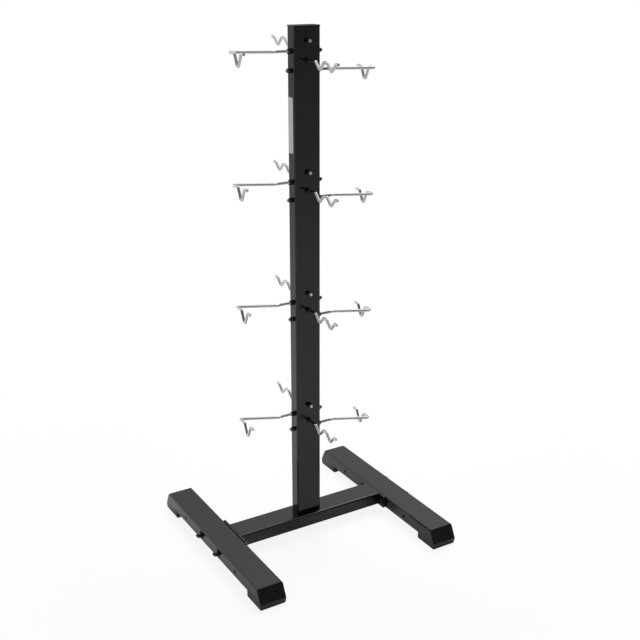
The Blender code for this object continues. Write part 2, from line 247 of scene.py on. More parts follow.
@dataclass(frozen=True)
class Grain:
    """Soft noise on a surface.

    Args:
        wave: The distance between its humps.
        detail: Finer octaves on top of the first.
        stretch: What the place is multiplied by along each axis.
        limits: The values at which its spots begin and are full.
        swing: How far its whole range moves the roughness.
    """

    wave: float
    detail: float = 2.0
    stretch: tuple[float, float, float] | None = None
    limits: tuple[float, float] = (0.0, 1.0)
    swing: float = 0.0

    def over(self, place: Signal) -> Signal:
        """The noise over a surface, from 0 to 1.

        Args:
            place: Where each point is.

        Returns:
            The noise.
        """
        if self.stretch:
            place = place.board.vector("MULTIPLY", place, self.stretch)
        values = {"Vector": place, "Scale": 1 / self.wave, "Detail": self.detail}
        return place.board.node("ShaderNodeTexNoise", {}, values)

    def spots(self, noise: Signal) -> Signal:
        """The soft-edged spots that the noise's humps make."""
        return noise.rise(*self.limits)

    def uneven(self, noise: Signal) -> Signal:
        """What the noise adds to the roughness."""
        return self.swing * (noise - NOISE_MEAN)


@dataclass(frozen=True)
class Finish:
    """A finish of the rack: a coat with soft spots, uneven gloss and a fine relief."""

    name: str
    slot: str
    colour: Colour
    roughness: float
    metallic: float = 0.0
    specular: float = 0.5
    relief: Grain = Grain(MM)
    depth: float = 0.0
    gloss: tuple[Grain, ...] = ()
    spots: Grain = Grain(MM)
    spot: Colour = grey(0.0)
    spot_share: float = 1.0
    spot_dulling: float = 0.0

    def material(self) -> bpy.types.Material:
        """Makes the material on its first use.

        Returns:
            The material.
        """
        material = bpy.data.materials.get(self.name)
        if material:
            return material
        material = bpy.data.materials.new(self.name)
        board = Board(material)
        values = {
            "Base Color": self.colour,
            "Roughness": self.roughness,
            "Metallic": self.metallic,
            "Specular IOR Level": self.specular,
        }
        shader = board.node("ShaderNodeBsdfPrincipled", {}, values | self.varying(board))
        board.node("ShaderNodeOutputMaterial", {}, {"Surface": shader})
        material.diffuse_color = self.colour
        return material

    def varying(self, board: Board) -> dict[str, Signal]:
        """What varies over the surface, by the shader's sockets."""
        return self.coat(board.place())

    def coat(self, place: Signal, mask: Signal | float = 1.0) -> dict[str, Signal]:
        """The coat's colour, roughness and normal.

        Args:
            place: Where each point is.
            mask: Where the spots are.

        Returns:
            What varies, by the shader's sockets.
        """
        board = place.board
        noise = {grain: grain.over(place) for grain in (self.relief, self.spots, *self.gloss)}
        spots = mask * self.spots.spots(noise[self.spots])
        uneven = sum((grain.uneven(noise[grain]) for grain in self.gloss), self.roughness)
        return {
            "Base Color": board.blend(spots * self.spot_share, self.colour, self.spot),
            "Roughness": uneven + self.spot_dulling * spots,
            "Normal": board.relief(noise[self.relief], self.depth),
        }


@dataclass(frozen=True)
class PowderCoat(Finish):
    """Black powder coat: glossy, with a fine orange peel, a little haze and specks."""

    relief: Grain = Grain(1.7 * MM, 3.0)
    depth: float = 0.012 * MM
    gloss: tuple[Grain, ...] = (Grain(70 * MM, 3.0, swing=0.05),)
    spots: Grain = Grain(2.6 * MM, 1.0, limits=(0.68, 0.76))
    spot: Colour = grey(0.013)
    spot_dulling: float = 0.1


@dataclass(frozen=True)
class MouldedPlastic(Finish):
    """Black moulded plastic, satin from a spark-eroded mould, with faint scuffs."""

    relief: Grain = Grain(0.45 * MM, swing=0.05)
    depth: float = 0.02 * MM
    gloss: tuple[Grain, ...] = (Grain(24 * MM, 4.0, swing=0.12), relief)
    spots: Grain = Grain(4 * MM, 3.0, (1.0, 0.25, 3.0), (0.6, 0.75))
    spot: Colour = grey(0.02)
    spot_share: float = 0.5


@dataclass(frozen=True)
class BlackOxide(Finish):
    """Black oxide on steel fasteners: dark and satin, with oily patches and a fine grain."""

    relief: Grain = Grain(0.35 * MM)
    depth: float = 0.006 * MM
    spots: Grain = Grain(5 * MM, 3.0, limits=(0.5, 0.8), swing=0.2)
    spot: Colour = grey(0.02)
    gloss: tuple[Grain, ...] = (spots,)


@dataclass(frozen=True)
class LabelFoil(Finish):
    """A bare label of silver foil, brushed along its length, and dimmer between the lines."""

    relief: Grain = Grain(0.25 * MM, 3.0, (1.0, 1.0, 0.02), (0.7, 0.3), 0.12)
    depth: float = 0.003 * MM
    gloss: tuple[Grain, ...] = (relief, Grain(18 * MM, swing=0.06))
    spots: Grain = relief
    spot: Colour = (0.63, 0.63, 0.612, 1.0)


@dataclass(frozen=True)
class ChromePlate(Finish):
    """Chrome on drawn wire: die lines, a slight cloud, rubbed notches, and thread roots darkened by
    dirt and painted shade.
    """

    relief: Grain = Grain(0.22 * MM, stretch=(0.02, 1.0, 1.0), swing=0.04)
    depth: float = 0.004 * MM
    gloss: tuple[Grain, ...] = (Grain(11 * MM, 3.0, swing=0.05), relief)
    spots: Grain = Grain(0.3 * MM, 2.0, (2.5, 0.2, 0.2), (0.42, 0.62))
    spot: Colour = grey(0.5)
    spot_share: float = 0.6
    spot_dulling: float = 0.16
    # The colour of the thread roots: dirt and painted shade.
    root: Colour = grey(0.06)
    root_dulling: float = 0.3

    def varying(self, board: Board) -> dict[str, Signal]:
        """The coat along the straightened wire, rubbed in the notches, with thread roots darkened
        by dirt and painted shade.

        Args:
            board: The material's nodes.

        Returns:
            What varies, by the shader's sockets.
        """
        drawn, rub, root = (
            board.node("ShaderNodeAttribute", {"attribute_name": name}, output=output)
            for name, output in (("drawn", "Vector"), ("rub", "Fac"), ("root", "Fac"))
        )
        coat = self.coat(drawn, rub)
        # Blends dirt and painted shade into the thread roots, darkest deepest in the groove.
        colour = board.blend(root, coat["Base Color"], self.root)
        return coat | {
            "Base Color": colour,
            "Roughness": coat["Roughness"] + self.root_dulling * root,
        }


POWDER_COAT = PowderCoat("powder_coat", "black_paint", grey(0.004), 0.14)
# Bare steel in the bores and holes, near black and barely glossy: partly real mill scale, partly
# painted shade.
BARE_STEEL_AND_SHADE = BlackOxide("mill_scale_and_shade", "black_paint", grey(0.006), 0.75, specular=0.1)
PLASTIC = MouldedPlastic("moulded_plastic", "black_plastic", grey(0.006), 0.28)
BLACK_STEEL = BlackOxide("black_oxide", "black_steel", grey(0.008), 0.24)
CHROME = ChromePlate("chromed_wire", "chrome", (0.64, 0.64, 0.63, 1.0), 0.16, metallic=1.0)
FOIL = LabelFoil("label_foil", "chrome", (0.7, 0.7, 0.68, 1.0), 0.45, metallic=0.5)


# Shapes


def rounded_rectangle(width: float, height: float, radius: float, steps: int = 8) -> Outline:
    """Goes around a rectangle with round corners, centred on (0, 0).

    Args:
        width: Length along the first axis.
        height: Length along the second axis.
        radius: Radius of the corners.
        steps: Facets of each corner.

    Returns:
        The points, counterclockwise.
    """
    points = []
    for quarter, (a, b) in enumerate(((1, 1), (-1, 1), (-1, -1), (1, -1))):
        for step in range(steps + 1):
            turn = (quarter + step / steps) * QUARTER_TURN
            across = a * (width / 2 - radius) + radius * math.cos(turn)
            up = b * (height / 2 - radius) + radius * math.sin(turn)
            points.append((across, up))
    return points


def circle(radius: float, sides: int = 48) -> Outline:
    """Goes around a circle, centred on (0, 0)."""
    turns = [math.tau * i / sides for i in range(sides)]
    return [(radius * math.cos(turn), radius * math.sin(turn)) for turn in turns]


def along_x(outline: Outline, x: float) -> Loop:
    """Stands an outline across the X axis."""
    return [Vector((x, a, b)) for a, b in outline]


def along_z(outline: Outline, z: float) -> Loop:
    """Lays an outline flat at a height."""
    return [Vector((a, b, z)) for a, b in outline]


def rounded_off(depth: float, radius: float) -> float:
    """How far a rounded edge draws back at a depth below its end face."""
    return radius - math.sqrt(max(radius**2 - max(radius - depth, 0.0) ** 2, 0.0))


class Solid:
    """A mesh in the making, which ends as a piece of the rack."""

    def __init__(self, name: str) -> None:
        """Starts an empty mesh of that name."""
        self.name = name
        self.shape = bmesh.new()

    def loft(self, loops: Sequence[Loop], ring: bool = False) -> "Solid":
        """Joins loops of equally many points by bands of faces.

        Args:
            loops: The loops, one after another.
            ring: Whether the last band meets the first loop. Otherwise both ends are closed.

        Returns:
            The solid itself.
        """
        rows = [[self.shape.verts.new(point) for point in loop] for loop in loops]
        count = len(rows[0])
        for first, second in zip(rows, rows[1:] + rows[:1] if ring else rows[1:]):
            for i in range(count):
                j = (i + 1) % count
                self.shape.faces.new((first[i], first[j], second[j], second[i]))
        if not ring:
            self.shape.faces.new(rows[0])
            self.shape.faces.new(rows[-1])
        return self

    def mesh(self, sharp: float = SHARP) -> bpy.types.Mesh:
        """Ends the making.

        Args:
            sharp: Edges bent by more than this many degrees stay sharp.

        Returns:
            The mesh, smooth elsewhere, with its faces pointing out.
        """
        bmesh.ops.recalc_face_normals(self.shape, faces=self.shape.faces)
        mesh = bpy.data.meshes.new(self.name)
        self.shape.to_mesh(mesh)
        self.shape.free()
        mesh.shade_smooth()
        mesh.set_sharp_from_angle(angle=math.radians(sharp))
        return mesh


def sleeve(
    name: str, skins: tuple[Outline, Outline], lay: Lay, ends: tuple[float, float]
) -> bpy.types.Mesh:
    """A hollow length of tube or plug.

    Args:
        name: The mesh's name.
        skins: The outlines of its outer and its inner skin.
        lay: What lays an outline at an end.
        ends: Its two ends, as lay takes them.

    Returns:
        The mesh.
    """
    (outer, inner), (first, last) = skins, ends
    around = ((outer, first), (outer, last), (inner, last), (inner, first))
    return Solid(name).loft([lay(*band) for band in around], ring=True).mesh()


def placed(name: str, data: bpy.types.ID) -> bpy.types.Object:
    """Puts a mesh, a lamp or the camera into the scene, under that name."""
    bpy.context.scene.collection.objects.link(thing := bpy.data.objects.new(name, data))
    return thing


def joined(mesh: bpy.types.Mesh, tool: bpy.types.Mesh, join: Join) -> bpy.types.Mesh:
    """Adds one mesh to another or cuts it out.

    Args:
        mesh: The mesh that is changed.
        tool: The mesh that changes it.
        join: How it does.

    Returns:
        A new mesh.
    """
    work, helper = placed(mesh.name, mesh), placed(tool.name, tool)
    modifier = work.modifiers.new("join", "BOOLEAN")
    modifier.operation = join.value
    modifier.object = helper
    modifier.solver = "EXACT"
    graph = bpy.context.evaluated_depsgraph_get()
    graph.update()
    result = bpy.data.meshes.new_from_object(work.evaluated_get(graph))
    for part in (work, helper):
        bpy.data.objects.remove(part, do_unlink=True)
    result.shade_smooth()
    result.set_sharp_from_angle(angle=math.radians(SHARP))
    return result


def drilled(mesh: bpy.types.Mesh, holes: Iterable[Hole], sides: int = 32) -> bpy.types.Mesh:
    """Drills holes through a mesh.

    Args:
        mesh: The mesh that is drilled.
        holes: Each hole's middle, its whole length as a vector, and its diameter.
        sides: Facets around a hole.

    Returns:
        A new mesh.
    """
    drill = Solid("drill")
    for middle, run, diameter in holes:
        turn = Vector((0, 0, 1)).rotation_difference(run).to_matrix().to_4x4()
        bmesh.ops.create_cone(
            drill.shape,
            cap_ends=True,
            segments=sides,
            radius1=diameter / 2,
            radius2=diameter / 2,
            depth=run.length,
            matrix=Matrix.Translation(middle) @ turn,
        )
    return joined(mesh, drill.mesh(), Join.CUT)


def show(
    name: str,
    mesh: bpy.types.Mesh,
    finish: Finish,
    node: str | None,
    place: Vector = Vector(),
    turn: float = 0.0,
) -> None:
    """Adds a piece of the rack.

    Args:
        name: The piece's name.
        mesh: Its mesh.
        finish: Its finish.
        node: The CAD node that it stands for, if there is one.
        place: Where its origin is.
        turn: Its turn about Z.
    """
    piece = placed(name, mesh)
    mesh.materials.clear()
    mesh.materials.append(finish.material())
    piece.location = place
    piece.rotation_euler.z = turn
    piece.modifiers.new("flats", "WEIGHTED_NORMAL").keep_sharp = True
    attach(piece, "root")
    if node:
        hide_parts(node)
    LOG.info("built %s", name)


@dataclass(frozen=True)
class Tube:
    """The rectangular steel tube that the post, the crossbar and the rails are cut from."""

    width: float
    depth: float
    wall: float = 2.5 * MM
    corner: float = 6.0 * MM
    # Faces deeper than this below the outer skin are bare steel, darkened with painted shade.
    coat_depth: float = 0.3125 * MM

    @property
    def skins(self) -> tuple[Outline, Outline]:
        """The outlines of its outer skin and of its bore."""
        return self.inset(0.0), self.inset(self.wall)

    def inset(self, by: float) -> Outline:
        """The outline that stays this far inside the outer skin."""
        return rounded_rectangle(self.width - 2 * by, self.depth - 2 * by, self.corner - by)

    def plug(self, wall: float) -> tuple[Outline, Outline]:
        """The outlines of a hollow plug that fits its bore, with a wall that thick."""
        return self.inset(self.wall + FIT), self.inset(self.wall + FIT + wall)

    def show(
        self, name: str, mesh: bpy.types.Mesh, node: str, along: int, place: Vector = Vector()
    ) -> None:
        """Adds a cut of the tube, coated outside, and dull and darkened with painted shade in its
        bore and holes.

        Args:
            name: The piece's name.
            mesh: Its mesh.
            node: The CAD node that it stands for.
            along: The axis that it runs along: 0, 1 or 2.
            place: Where its origin is.
        """
        show(name, mesh, POWDER_COAT, node, place)
        # The bore and the hole walls get the bare steel, darkened with painted shade.
        mesh.materials.append(BARE_STEEL_AND_SHADE.material())
        wide, deep = (axis for axis in range(3) if axis != along)
        for face in mesh.polygons:
            across = abs(face.center[wide]) - self.width / 2
            up = abs(face.center[deep]) - self.depth / 2
            corner = math.hypot(max(across + self.corner, 0.0), max(up + self.corner, 0.0))
            face.material_index = int(max(across, up, corner - self.corner) < -self.coat_depth)


@dataclass(frozen=True)
class Hexagon:
    """The hexagon of a nut or a bolt head, whose corners a cone takes off."""

    flats: float
    height: float
    cone: float = math.radians(30.0)
    land: float = 0.95
    samples: int = 48

    @property
    def face(self) -> float:
        """Radius of the flat ring that the cone leaves on the face."""
        return self.flats / 2 * self.land

    def rim(self) -> tuple[Loop, Loop]:
        """Follows the scalloped edges of the flanks, where the cones cut them.

        Returns:
            The edge near X = 0 and the one near the height.
        """
        lower, upper = [], []
        for a, b in circle(1.0, self.samples):
            off_flat = (math.atan2(b, a) + SIXTH_TURN / 2) % SIXTH_TURN - SIXTH_TURN / 2
            radius = self.flats / 2 / math.cos(off_flat)
            fall = (radius - self.face) * math.tan(self.cone)
            lower.append(Vector((fall, radius * a, radius * b)))
            upper.append(Vector((self.height - fall, radius * a, radius * b)))
        return lower, upper

    def nut(self, name: str, bore: float, lead: float) -> bpy.types.Mesh:
        """A nut along X from 0 to its height, chamfered on both faces.

        Args:
            name: The mesh's name.
            bore: Its bore's diameter.
            lead: Width of the chamfer that leads into the bore.

        Returns:
            The mesh.
        """
        lower, upper = self.rim()
        narrow, wide = circle(bore / 2, self.samples), circle(bore / 2 + lead, self.samples)
        end = ((narrow, lead), (wide, 0.0), (circle(self.face, self.samples), 0.0))
        loops = [along_x(outline, x) for outline, x in end] + [lower, upper]
        loops += [along_x(outline, self.height - x) for outline, x in reversed(end)]
        return Solid(name).loft(loops, ring=True).mesh(sharp=20.0)


@dataclass(frozen=True)
class Thread:
    """A rolled thread: a groove that winds round a rod between two places along it."""

    pitch: float
    depth: float
    start: float
    end: float
    # How far dirt and painted shade darken the thread, most in its root.
    dirt_and_shade: float = 0.0
    steepness: float = 1.25
    rings_per_turn: int = 8

    def stations(self) -> list[float]:
        """Where the rod needs rings to show the thread."""
        count = math.ceil((self.end - self.start) / self.pitch * self.rings_per_turn)
        return [self.start + (self.end - self.start) * i / count for i in range(count + 1)]

    def groove(self, along: float, turn: float) -> float:
        """How deep the groove is at a place on the rod.

        Args:
            along: The place along the rod.
            turn: The turn around it.

        Returns:
            The depth.
        """
        fade = min((along - self.start) / self.pitch, (self.end - along) / self.pitch, 1.0)
        wave = abs(2 * ((along / self.pitch - turn / math.tau) % 1.0) - 1)
        return self.depth * max(fade, 0.0) * min(self.steepness * wave, 1.0)

    def dark(self, along: float, turn: float) -> float:
        """How much dirt and painted shade darken the thread at a place on the rod, most of all in
        its root.
        """
        inside = self.start <= along <= self.end
        return inside * self.dirt_and_shade * (1 + self.groove(along, turn) / self.depth) / 2


@dataclass(frozen=True)
class Wire:
    """A hook's wire: a threaded rod along X, then straight runs with an arc at each corner."""

    diameter: float
    inside_bend: float
    threads: Sequence[Thread]
    corners: Sequence[Vector]
    sides: int = 24
    bend_steps: int = 10
    cut_edge: float = 0.5 * MM
    rub_reach: float = 5 * MM

    def path(self) -> list[Vector]:
        """Follows the middle of the wire.

        Returns:
            The points at which it needs rings.
        """
        radius = self.inside_bend + self.diameter / 2
        tail = self.corners[0].x
        stations = {tail, tail + self.cut_edge}
        for thread in self.threads:
            stations.update(thread.stations())
        path = [Vector((x, 0, 0)) for x in sorted(stations)]
        for before, corner, after in zip(self.corners, self.corners[1:], self.corners[2:]):
            back, ahead = (before - corner).normalized(), (after - corner).normalized()
            half = back.angle(ahead) / 2
            centre = corner + (back + ahead).normalized() * radius / math.sin(half)
            start = corner + back * radius / math.tan(half) - centre
            axis = back.cross(start)
            for step in range(self.bend_steps + 1):
                turn = (math.pi - 2 * half) * step / self.bend_steps
                path.append(centre + Matrix.Rotation(turn, 3, axis) @ start)
        last = self.corners[-1]
        back = (path[-1] - last).normalized()
        return [*path, last + back * self.cut_edge, last]

    def skin(self, point: Vector, turn: float, cut: float) -> tuple[float, float]:
        """The wire's surface around a point of its path.

        Args:
            point: The point.
            turn: The turn around the wire.
            cut: How much the cut at an end takes off its radius there.

        Returns:
            Its radius, and how much a thread's dirt and painted shade darken it.
        """
        threads = () if point.y or point.z else self.threads
        grooves = [thread.groove(point.x, turn) for thread in threads]
        dirt_and_shade = [thread.dark(point.x, turn) for thread in threads]
        return self.diameter / 2 - max([cut, *grooves]), max([0.0, *dirt_and_shade])

    def mesh(self, name: str) -> bpy.types.Mesh:
        """Makes the wire's mesh.

        Args:
            name: The mesh's name.

        Returns:
            The mesh, with each point's place on the straightened wire, how rubbed it is and how
            much a thread's dirt and painted shade darken it.
        """
        path = self.path()
        last = len(path) - 1
        notches = [corner for corner in self.corners if corner.z]
        rings, drawn, rub, root = [], [], [], []
        across, travelled = Vector((0, 1, 0)), 0.0
        for i, point in enumerate(path):
            before, after = path[max(i - 1, 0)], path[min(i + 1, last)]
            travelled += (point - before).length
            into = (point - before).normalized() if i else (after - point).normalized()
            out_of = (after - point).normalized() if after != point else into
            along = (into + out_of).normalized()
            across = (across - along * across.dot(along)).normalized()
            up = along.cross(across)
            near = min((point - notch).length for notch in notches)
            wear = math.exp(-((near / self.rub_reach) ** 2))
            cut = self.cut_edge if i in (0, last) else 0.0
            ring = []
            for a, b in circle(1.0, self.sides):
                radius, dark = self.skin(point, math.atan2(b, a), cut)
                away = a * across + b * up
                ring.append(point + radius * away)
                drawn += [travelled, radius * a, radius * b]
                rub.append(wear * max(away.z, 0.0))
                root.append(dark)
            rings.append(ring)
        mesh = Solid(name).loft(rings).mesh(sharp=50.0)
        mesh.attributes.new("drawn", "FLOAT_VECTOR", "POINT").data.foreach_set("vector", drawn)
        for attribute, values in (("rub", rub), ("root", root)):
            mesh.attributes.new(attribute, "FLOAT", "POINT").data.foreach_set("value", values)
        return mesh


# The rack's own parts


@dataclass(frozen=True)
class Arm:
    """A hook's arm outside the post, which starts as a straight shank along X."""

    shank: float
    threaded: float
    notch_width: float
    notch_depth: float
    tip: float

    def corners(self, face: float) -> list[Vector]:
        """Follows the arm outwards.

        Args:
            face: How far the post's face is from its middle.

        Returns:
            The corner points.
        """
        x, y = face + self.shank, 0.0
        points = [Vector((x, y, 0))]
        for ahead, aside, z in self.runs:
            x, y = x + ahead, y + aside
            points.append(Vector((x, y, z)))
        return points

    @property
    def runs(self) -> Sequence[tuple[float, float, float]]:
        """How far ahead and aside of the last corner each one is, and its height."""
        raise NotImplementedError


@dataclass(frozen=True)
class NotchedArm(Arm):
    """A front or back hook: two notches in line with its rod, with a land between them."""

    shank: float = 41.0 * MM
    threaded: float = 10.0 * MM
    notch_width: float = 42.0 * MM
    notch_depth: float = 21.5 * MM
    tip: float = 11.5 * MM
    land: float = 17.0 * MM

    @property
    def runs(self) -> Sequence[tuple[float, float, float]]:
        """A notch, the land, a notch and the tip."""
        notch = ((self.notch_width / 2, 0, -self.notch_depth), (self.notch_width / 2, 0, 0))
        return (*notch, (self.land, 0, 0), *notch, (self.tip, 0, 0))


@dataclass(frozen=True)
class CrankedArm(Arm):
    """A left or right hook: a cranked arm, with one deeper notch across its end."""

    shank: float = 54.5 * MM
    threaded: float = 45.5 * MM
    notch_width: float = 38.0 * MM
    notch_depth: float = 39.0 * MM
    tip: float = 17.0 * MM
    crank_run: float = 100.5 * MM
    crank_offset: float = 49.5 * MM
    back_run: float = 31.0 * MM

    @property
    def runs(self) -> Sequence[tuple[float, float, float]]:
        """The crank, the run back, a notch and the tip."""
        notch = ((0, self.notch_width / 2, -self.notch_depth), (0, self.notch_width / 2, 0))
        crank = (self.crank_run, -self.crank_offset, 0)
        return (crank, (0, self.back_run, 0), *notch, (0, self.tip, 0))


@dataclass(frozen=True)
class Hooks:
    """The sixteen wire hooks, each with a nut on either side of the post."""

    wire: float = 8.0 * MM
    inside_bend: float = 1.5 * MM
    tail: float = 15.0 * MM
    pitch: float = 1.25 * MM
    thread_depth: float = 0.7 * MM
    # How far dirt and painted shade darken the thread on the tail and on the shank.
    tail_dirt_and_shade: float = 1.0
    shank_dirt_and_shade: float = 0.25
    nut: Hexagon = Hexagon(13.0 * MM, 9.5 * MM)
    nut_clearance: float = 0.15 * MM
    nut_lead: float = 0.5 * MM
    nut_turn: float = math.radians(23.0)
    # How many times further each tier, side and end of a rod turns its nut.
    nut_turns: tuple[int, int, int] = (3, 5, 7)
    tiers: int = 4
    notched: NotchedArm = NotchedArm()
    cranked: CrankedArm = CrankedArm()

    def build(self, post: Extent) -> None:
        """Builds every hook of every tier.

        Args:
            post: The box of the post.
        """
        nut = self.nut.nut("rod_nut", self.wire + 2 * self.nut_clearance, self.nut_lead)
        for order, side in enumerate(Side):
            face = (post.size.x if side.is_across else post.size.y) / 2
            wire, seat = self.wire_mesh(side, face), side.out * (face + FIT)
            for tier, height in enumerate(self.heights(side), 1):
                lift = Vector((0, 0, height))
                hook, far = f"{side.word}_hook_{tier}", f"{side.word}_hook_nut_{tier}"
                show(f"{hook}_wire", wire.copy(), CHROME, hook, lift, side.turn)
                nuts = (
                    (f"{hook}_near_nut", hook, seat, side.turn),
                    (f"{far}_hexagon", far, -seat, side.turn + math.pi),
                )
                for i, (name, node, off, turn) in enumerate(nuts):
                    turns = sum(a * b for a, b in zip(self.nut_turns, (tier, order, i)))
                    mesh = nut.copy()
                    mesh.transform(Matrix.Rotation(self.nut_turn * turns, 4, "X"))
                    show(name, mesh, BLACK_STEEL, node, lift + off, turn)

    def heights(self, side: Side) -> list[float]:
        """The heights of one side's rods, tier by tier."""
        nuts = (f"{side.word}_hook_nut_{tier}" for tier in range(1, self.tiers + 1))
        return [Extent.of(nut).middle.z for nut in nuts]

    def wire_mesh(self, side: Side, face: float) -> bpy.types.Mesh:
        """The wire of one side's hooks, along X.

        Args:
            side: The side of the post.
            face: How far the post's face on that side is from its middle.

        Returns:
            The mesh.
        """
        arm = self.cranked if side.is_across else self.notched
        tail, start = -face - self.tail, face + FIT + self.pitch
        threads = (
            Thread(self.pitch, self.thread_depth, tail, -start, self.tail_dirt_and_shade),
            Thread(self.pitch, self.thread_depth, start, face + arm.threaded, self.shank_dirt_and_shade),
        )
        corners = [Vector((tail, 0, 0)), *arm.corners(face)]
        wire = Wire(self.wire, self.inside_bend, threads, corners)
        return wire.mesh(f"{side.word}_hook_wire")


@dataclass(frozen=True)
class Label:
    """A bare foil label on the post's left side, whose back edge wraps round the corner."""

    low: float = 1.165
    high: float = 1.315
    front: float = -9.5 * MM
    wrap: float = math.radians(50.0)
    corner: float = 5.0 * MM
    thickness: float = 0.15 * MM
    lift: float = 0.02 * MM
    columns: int = 40

    def build(self, tube: Tube) -> None:
        """Builds the label on the post.

        Args:
            tube: The post's tube.
        """
        flat = tube.depth / 2 - tube.corner
        length = flat - self.front + self.wrap * tube.corner
        loops = []
        for i in range(self.columns + 1):
            run = length * i / self.columns
            trim = rounded_off(min(run, length - run), self.corner)
            low, high = self.low + trim, self.high - trim
            inner, outer = (self.skin(tube, run, rise) for rise in (self.lift, self.thickness))
            around = ((inner, low), (outer, low), (outer, high), (inner, high))
            loops.append([Vector((*point, z)) for point, z in around])
        show("post_label", Solid("post_label").loft(loops).mesh(), FOIL, None)

    def skin(self, tube: Tube, run: float, rise: float) -> tuple[float, float]:
        """A point above the post's skin, seen from above.

        Args:
            tube: The post's tube.
            run: How far behind the label's front edge it is, along the skin.
            rise: How far it is above the skin.

        Returns:
            Its X and Y.
        """
        side, flat = tube.width / 2, tube.depth / 2 - tube.corner
        y = self.front + run
        if y <= flat:
            return -side - rise, y
        turn, radius = (y - flat) / tube.corner, tube.corner + rise
        return -(side - tube.corner) - radius * math.cos(turn), flat + radius * math.sin(turn)


@dataclass(frozen=True)
class Post:
    """The upright tube with its plastic cap and its label."""

    rod_hole: float = 9.0 * MM
    cap_rim: float = 1.5 * MM
    cap_edge: float = 1.0 * MM
    cap_lip: float = 0.3 * MM
    plug_length: float = 18.0 * MM
    plug_wall: float = 2.0 * MM
    edge_steps: int = 6
    label: Label = Label()

    def build(self, hooks: Hooks) -> Tube:
        """Builds the tube, its cap and its label.

        Args:
            hooks: The hooks, whose rods pass through the post.

        Returns:
            The tube.
        """
        box = Extent.of("upright_post")
        tube = Tube(box.size.x, box.size.y)
        holes = [
            (Vector((0, 0, height)), side.out * 2 * tube.width, self.rod_hole)
            for side in Side
            for height in hooks.heights(side)
        ]
        mesh = drilled(sleeve("post", tube.skins, along_z, (box.low.z, box.high.z)), holes)
        tube.show("upright_post_tube", mesh, "upright_post", 2)
        self.cap(tube, box.high.z + FIT)
        self.label.build(tube)
        return tube

    def cap(self, tube: Tube, seat: float) -> None:
        """Builds the cap: a rimmed plate with rounded edges, and its hollow plug.

        Args:
            tube: The post's tube.
            seat: The height of the plate's underside.
        """
        top = Extent.of("post_top_cap").high.z
        plug, hollow = tube.plug(self.plug_wall)
        low = seat - self.plug_length
        bands = [
            (hollow, seat),
            (hollow, low),
            (plug, low),
            (plug, seat),
            (tube.inset(self.cap_lip - self.cap_rim), seat),
            (tube.inset(-self.cap_rim), seat + self.cap_lip),
        ]
        for step in range(self.edge_steps + 1):
            depth = self.cap_edge * (1 - math.sin(QUARTER_TURN * step / self.edge_steps))
            inset = rounded_off(depth, self.cap_edge) - self.cap_rim
            bands.append((tube.inset(inset), top - depth))
        mesh = Solid("post_cap").loft([along_z(*band) for band in bands]).mesh()
        show("post_top_cap_plate", mesh, PLASTIC, "post_top_cap")


